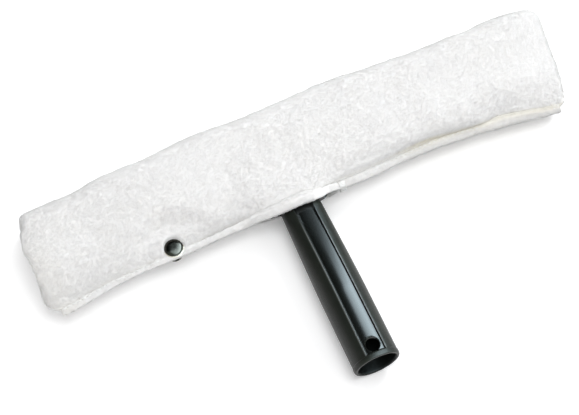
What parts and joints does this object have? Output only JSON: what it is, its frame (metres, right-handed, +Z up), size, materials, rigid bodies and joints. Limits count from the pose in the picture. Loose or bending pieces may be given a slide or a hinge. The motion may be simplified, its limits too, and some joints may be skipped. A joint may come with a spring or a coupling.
{
  "type": "window strip washer",
  "caption": "T-bar window washer: a hollow grip on a ribbed crossbar inside a fleece sleeve that a press stud closes round the grip.",
  "frame": {"origin": "on the rest plane, midway along the washer's overall length and width", "axes": "+X along the crossbar towards the sewn end of the sleeve, -Y along the handle towards its open end, +Z up out of the face with the press stud"},
  "size_m": [0.377, 0.1904, 0.0314],
  "materials": {
    "handle_plastic": "fine moulded texture with a glossy recessed panel",
    "bar_plastic": "smooth moulded",
    "fleece": "dense short pile",
    "binding": "woven tape",
    "thread": "twisted thread",
    "cap_metal": "polished black",
    "stud_metal": "plated"
  },
  "bodies": {
    "t_bar": {"handle": "handle_plastic", "crossbar": "bar_plastic", "left_screw": "stud_metal", "right_screw": "stud_metal"},
    "sleeve": {"fleece_sleeve": "fleece", "back_binding": "binding", "seam_binding": "binding", "seam_thread": "thread", "end_thread": "thread", "back_thread_left": "thread", "back_thread_right": "thread", "bar_tack": "thread", "snap_stud": "stud_metal", "snap_eyelet": "stud_metal"},
    "flap": {"front_flap": "fleece", "front_binding": "binding", "front_thread_left": "thread", "front_thread_right": "thread", "snap_cap": "cap_metal", "snap_socket": "stud_metal", "snap_spring": "stud_metal"}
  },
  "joints": [
    {"name": "sleeve_shift", "type": "slide", "parent": "t_bar", "child": "sleeve", "axis": [1, 0, 0], "range_m": [-0.003, 0.003]},
    {"name": "flap_peel", "type": "hinge", "parent": "sleeve", "child": "flap", "pos_m": [0.01121, 0.02777, 0.0295], "axis": [-0.9712, 0.2381, 0], "range_deg": [0, 60]}
  ]
}
